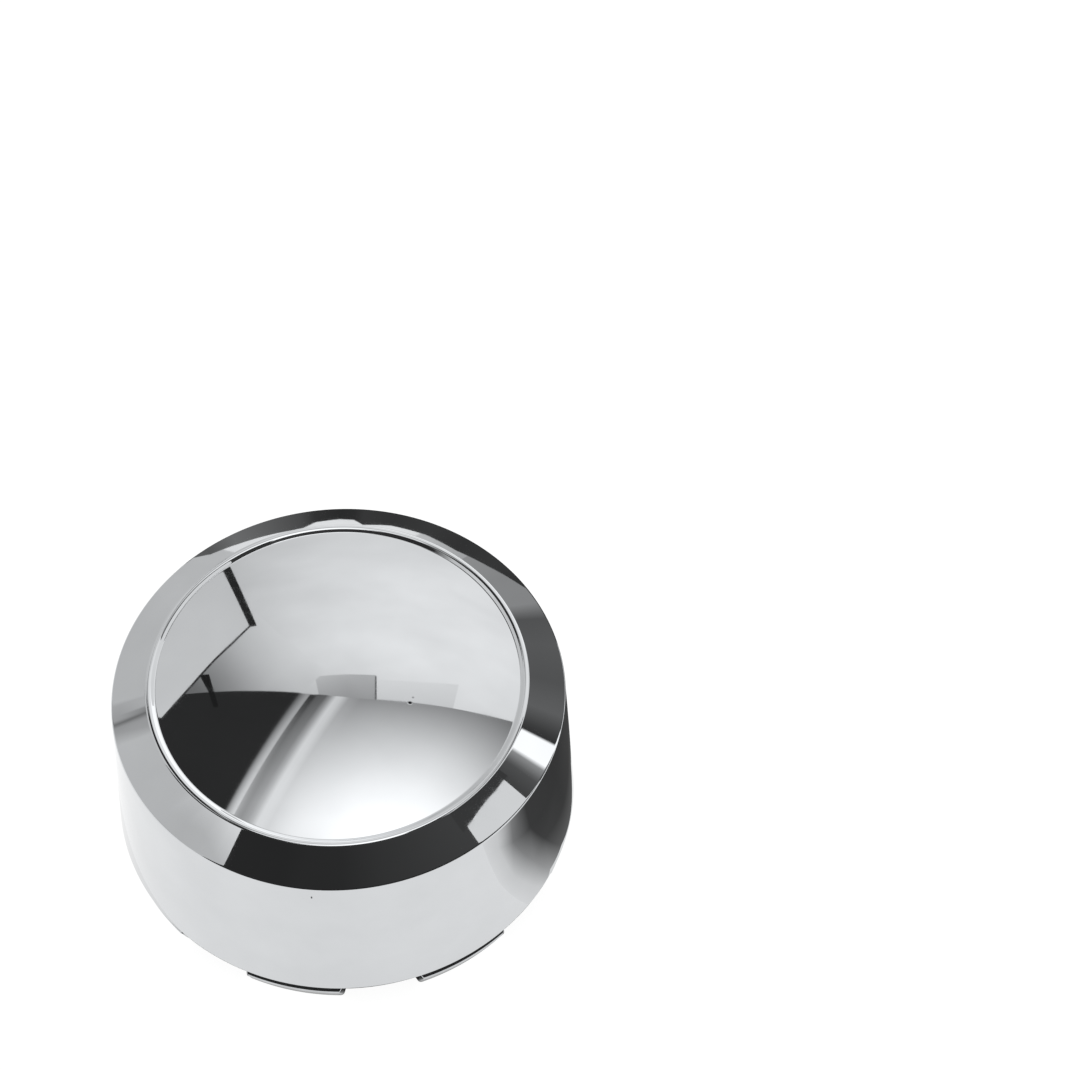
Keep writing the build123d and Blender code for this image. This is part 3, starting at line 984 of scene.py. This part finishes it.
def front_cards(board):
    """Black flags behind and under the camera and over its shoulders, and the shade under the cap."""
    sky_card("front_flag", board, 680, [
        [(-92, 6, 0.05), (-130, 6, 0.03), (180, 6, 0.03), (130, 6, 0.03), (92, 6, 0.05)],
        [(-96, 27, 0.05), (-134, 27, 0.03), (180, 27, 0.03), (134, 27, 0.03), (96, 27, 0.05)],
        [(-112, 37, 0.04), (-142, 40, 0.03), (180, 42, 0.03), (138, 40, 0.04), (109, 37, 0.05)],
        [(-125, 44, 0.03), (-150, 48, 0.03), (180, 50, 0.03), (145, 48, 0.05), (115, 44, 0.07)],
        [(-126, 54, 0.03), (-150, 58, 0.03), (180, 62, 0.04), (145, 58, 0.06), (114.8, 54, 0.08)],
        [(-124, 66, 0.04), (-150, 70, 0.04), (180, 74, 0.05), (145, 70, 0.06), (110, 66, 0.08)],
        [(-122, 76, 0.10), (-150, 80, 0.20), (180, 83, 0.30), (145, 80, 0.20), (110, 76, 0.10)],
    ])
    sky_card("front_flag_corner", board, 675, [
        [(-130, 45.6, 0.03), (-124, 43.5, 0.03), (-118, 42.0, 0.20)],
        [(-130, 49.4, 0.03), (-122, 46.4, 0.04), (-118, 45.0, 0.30)],
    ])
    # Over the left shoulder, nearer than the overhead cloth: turn and rise where a cloth meets a flag
    shoulder = ((-74, 51.1), (-83.7, 56.6), (-94.6, 62.1), (-104, 65.9))
    cloth_levels = (0.95, 0.95, 0.80, 0.08)
    sky_card("shoulder_cloth", board, 470, [
        [(turn - 4, rise - 10, level) for (turn, rise), level in zip(shoulder, cloth_levels)],
        [(turn, rise + 0.5, level) for (turn, rise), level in zip(shoulder, cloth_levels)],
    ])
    shoulder_end = ((-106, 56), (-128, 60))
    shoulder_top = ((-68, 65), (-77.7, 70.6), (-88.6, 76.1), (-98, 79.9), (-102, 80), (-122, 82))
    sky_card("shoulder_flag", board, 480, [
        [(turn, rise - 0.5, 0.035) for turn, rise in shoulder + shoulder_end],
        [(turn, rise, 0.035) for turn, rise in shoulder_top],
    ])
    right_levels = (0.05, 0.05, 0.05, 0.05, 0.06, 0.2)
    right_low = ((131, 66.5), (106, 61.5), (94.5, 66.2), (86, 63.1), (65, 52.1), (56, 46.6))
    right_top = ((100, 80), (79.7, 73.6), (75.5, 71.5), (70, 68.2), (54.3, 57.6), (47.5, 52.4))
    sky_card("right_shoulder_flag", board, 480, [
        [(turn, rise, level) for (turn, rise), level in zip(edge, right_levels)]
        for edge in (right_low, right_top)
    ])
    # Painted shade on the table under the cap, seen only in reflections: radius, level below a tab, level
    # between tabs
    shade = (
        (0.5, 0.02, 0.02),
        (40.8, 0.03, 0.02),
        (41.3, 0.34, 0.02),
        (42.0, 0.68, 0.03),
        (43.0, 0.90, 0.03),
        (45.6, 0.95, 0.04),
        (46.2, 0.95, 0.90),
    )
    shade_z = 0.3
    tab_steps = 18             # steps round from one tab to the next
    gap_from, gap_to = 6, 12   # those of them that lie between tabs
    gap_side = -0.35           # only gaps towards the camera, beyond this cosine, are dark
    rows = []
    for r, at_tab, between_tabs in shade:
        row = []
        for step in range(tab_steps * TAB_COUNT + 1):
            turn = VIEW_TURN + 2 * pi * step / (tab_steps * TAB_COUNT)
            in_gap = gap_from <= step % tab_steps <= gap_to and cos(turn) < gap_side
            level = between_tabs if in_gap else at_tab
            row.append((r * sin(turn), r * cos(turn), shade_z, level))
        rows.append(row)
    # A dark card with painted shade, just above the table under the cap
    card("under_cap_painted_shade", board, rows)


def right_cards(board):
    """Dark flags on the right with a bright slot between them, a low one round that side of the cap, and a
    painted shadow lying on the table there.
    """
    # Across the flags: turn, rise of the upper edge, level at the lower and upper edges
    flags = (
        (18, 6, 0.42, 0.42),
        (26, 14, 0.36, 0.38),
        (33, 18, 0.34, 0.38),
        (37, 20, 0.12, 0.14),
        (44, 24, 0.14, 0.16),
        (54, 30, 0.12, 0.14),
        (63, 35, 0.16, 0.18),
        (71.4, 40, 0.05, 0.05),
        (72.2, 40, 1.60, 1.60),
        (79.0, 43, 1.60, 1.60),
        (80.5, 43, 0.40, 0.40),
        (85, 46, 0.12, 0.12),
        (91.2, 48, 0.08, 0.08),
    )
    sky_card("right_flag", board, 690, [
        [(turn, -3, low) for turn, rise, low, high in flags],
        [(turn, rise, high) for turn, rise, low, high in flags],
    ])
    # Its lower edge bounds the light patch on the bevel: turn, rise
    patch = ((96, 34.3), (103.4, 36.8), (111.4, 39.1), (118, 40.5), (124, 41.5))
    sky_card("patch_flag", board, 160, [
        [(turn, rise, 0.06) for turn, rise in patch],
        [(turn, rise + 7, 0.06) for turn, rise in patch],
    ])
    # Standing close round the back and the right: turn, top, level
    low_flag = (
        (-36, 38.2, 0.20),
        (-31, 39.3, 0.14),
        (-25, 38.9, 0.22),
        (-18, 38.4, 0.16),
        (-11, 38.1, 0.10),
        (-8, 37.1, 0.05),
        (-3, 36.9, 0.035),
        (0, 37.2, 0.04),
        (2, 38.3, 0.06),
        (8, 38.5, 0.05),
        (16, 40.1, 0.06),
        (24, 42.8, 0.05),
        (32, 44.4, 0.06),
        (40, 45.4, 0.05),
        (48, 45.6, 0.06),
        (58, 46.0, 0.08),
    )
    away = 82
    foot, head = [], []
    for turn, top, level in low_flag:
        x, y = away * sin(radians(turn)), away * cos(radians(turn))
        foot.append((x, y, 0, level))
        head.append((x, y, top, level))
    card("low_flag", board, [foot, head])
    # Painted shadow of a neighbouring cap, lying on the table and seen only in reflections: x, y and level
    # of corners from the cap outwards, row by row round the right side
    floor_painted_shadow = (
        ((37, -24, 0.99), (44, -33, 0.99), (52, -40, 0.99), (64, -42, 0.99), (110, -40, 0.99)),
        ((40, -20.5, 0.85), (45.5, -28, 0.85), (52, -33, 0.85), (62, -34, 0.85), (110, -30, 0.80)),
        ((42.5, -17, 0.45), (47, -20.5, 0.36), (53, -26.5, 0.26), (61, -26, 0.30), (110, -20, 0.30)),
        ((44, -11, 0.14), (49, -14, 0.07), (54, -18, 0.06), (62, -18, 0.06), (110, -8, 0.06)),
        ((44.5, -3, 0.12), (48, -2, 0.055), (54, 0, 0.05), (62, 2, 0.05), (110, 20, 0.05)),
        ((45, 8, 0.10), (47, 14, 0.06), (52, 20, 0.06), (60, 24, 0.05), (110, 60, 0.05)),
        ((42, 22, 0.12), (44, 26, 0.06), (48, 32, 0.05), (54, 38, 0.05), (110, 100, 0.05)),
    )
    lying_z = 1.5
    card("floor_painted_shadow", board, [[(x, y, lying_z, level) for x, y, level in row] for row in floor_painted_shadow])


def reflectors():
    """Cloths and flags round the cap, by where the chrome shows them. Nearer cards cover farther ones."""
    cloth = card_glow("lit_scrim_cloth", 0.09)
    board = card_glow("flag_board", 0.0)
    back_cards(cloth, board)
    left_cards(board)
    card("overhead_cloth", cloth, overhead_rows())
    front_cards(board)
    right_cards(board)


def table():
    """Pale, evenly lit table top: matt white, very faintly uneven."""
    mesh = bpy.data.meshes.new("floor")
    side = 3.0
    corners = [(-side, -side, 0), (side, -side, 0), (side, side, 0), (-side, side, 0)]
    mesh.from_pydata(corners, [], [(0, 1, 2, 3)])
    material, tree, place = new_material("white_acrylic_matt")
    uneven = patches(tree, place, 120.0, 2.0)   # uneven light, patches of 120 mm
    colour = node(tree, "ShaderNodeMix", [
        ("Factor", uneven),
        (6, linear("#656565")),
        (7, linear("#5F5F5F")),
    ], data_type="RGBA")
    shader = node(tree, "ShaderNodeBsdfPrincipled", [
        ("Base Color", colour.outputs[2]),
        ("Roughness", 0.9),
        ("Emission Color", linear("#FFFFFF")),
        ("Emission Strength", 0.93),
    ])
    node(tree, "ShaderNodeOutputMaterial", [("Surface", shader.outputs["BSDF"])])
    mesh.materials.append(material)
    floor = bpy.data.objects.new("floor", mesh)
    bpy.context.scene.collection.objects.link(floor)


def studio():
    """Even white surroundings, the table and the reflectors."""
    world = bpy.data.worlds.new("studio_white")
    world.use_nodes = True
    world.node_tree.nodes["Background"].inputs["Color"].default_value = linear("#FFFFFF")
    bpy.context.scene.world = world
    table()
    reflectors()


def camera():
    """The photograph's camera: place, line of sight and lens."""
    data = bpy.data.cameras.new("camera")
    data.sensor_width = 36.0
    data.lens = FOCAL_PX / FRAME_PX * data.sensor_width
    made = bpy.data.objects.new("camera", data)
    bpy.context.scene.collection.objects.link(made)
    turn = Matrix.Rotation(VIEW_TURN, 3, "Z")
    sight = turn @ Vector((0, cos(VIEW_DROP), -sin(VIEW_DROP)))
    made.location = turn @ EYE
    made.rotation_euler = sight.to_track_quat("-Z", "Y").to_euler()
    bpy.context.scene.camera = made


cap_shell()
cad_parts["retaining_ring"].data.materials[0] = spring_wire()
studio()
camera()
bpy.context.scene.view_settings.view_transform = "Standard"
